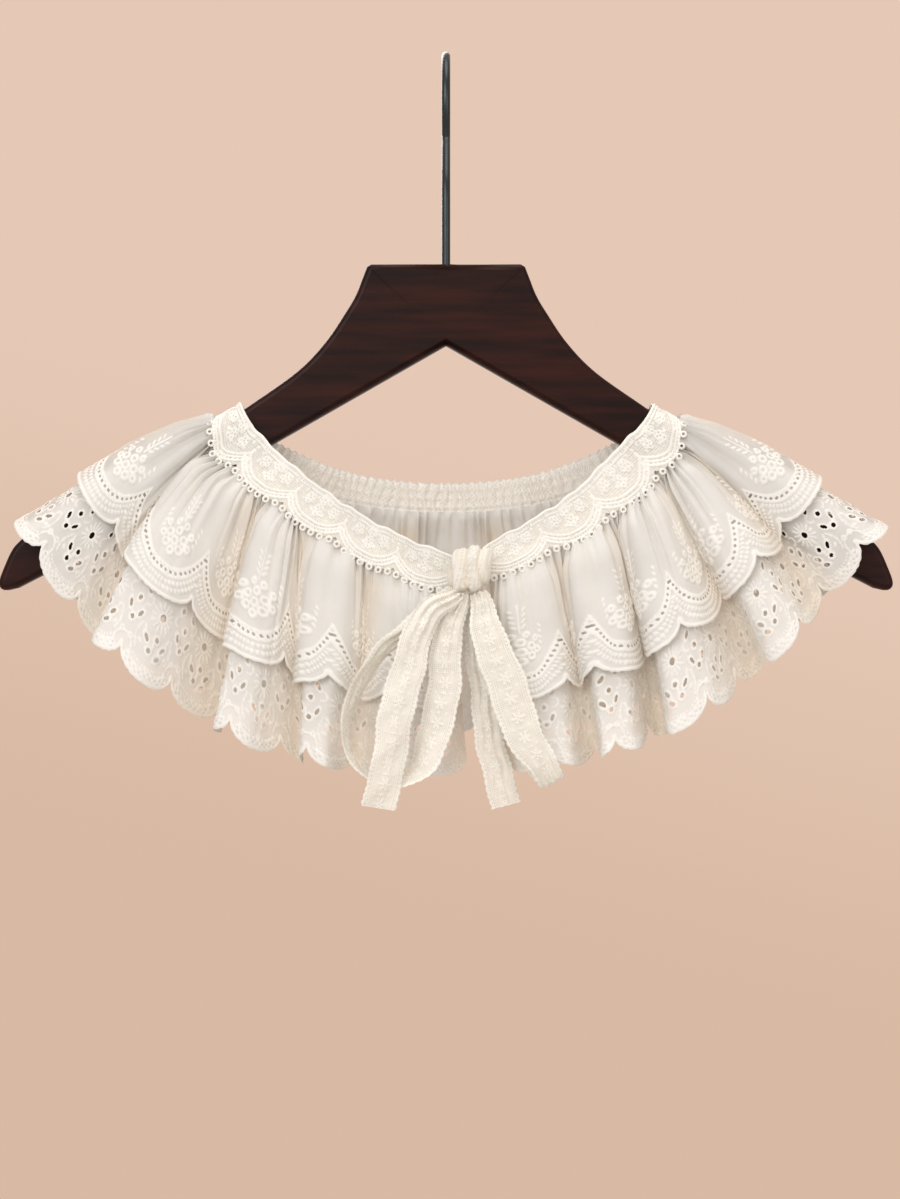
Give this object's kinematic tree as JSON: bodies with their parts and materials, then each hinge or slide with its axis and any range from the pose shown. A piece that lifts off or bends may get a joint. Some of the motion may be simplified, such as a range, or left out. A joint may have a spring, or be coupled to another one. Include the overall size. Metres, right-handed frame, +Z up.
{
  "type": "gathered lace ruffle collar on a clothes hanger",
  "caption": "Gathered lace collar in two ruffled tiers with a lace neckband and a ribbon bow, hung on a flat wooden hanger with a wire hook.",
  "frame": {"origin": "inside top of the hanger's hook, where a rail holds it", "axes": "+X to the right along the hanger, the collar's front faces -Y, +Z up"},
  "size_m": [0.4, 0.0983, 0.3375],
  "materials": {
    "wood": "satin dark lacquer",
    "hook_metal": "dark satin",
    "cloth": "sheer cotton voile with satin stitch eyelets",
    "lace": "corded guipure lace",
    "ribbon": "woven lace ribbon"
  },
  "bodies": {
    "root": {"hanger_arm_left": "wood", "hanger_arm_right": "wood", "hanger_hook": "hook_metal", "lower_ruffle_front_left": "cloth", "lower_ruffle_front_right": "cloth", "lower_ruffle_back": "cloth", "upper_ruffle_front_left": "cloth", "upper_ruffle_front_right": "cloth", "upper_ruffle_back": "cloth", "neckband_left": "lace", "neckband_right": "lace", "neckband_back": "lace", "bow_knot": "ribbon", "bow_loop_left": "ribbon", "bow_loop_right": "ribbon", "tie_tail_left": "ribbon", "tie_tail_right": "ribbon"}
  },
  "joints": []
}
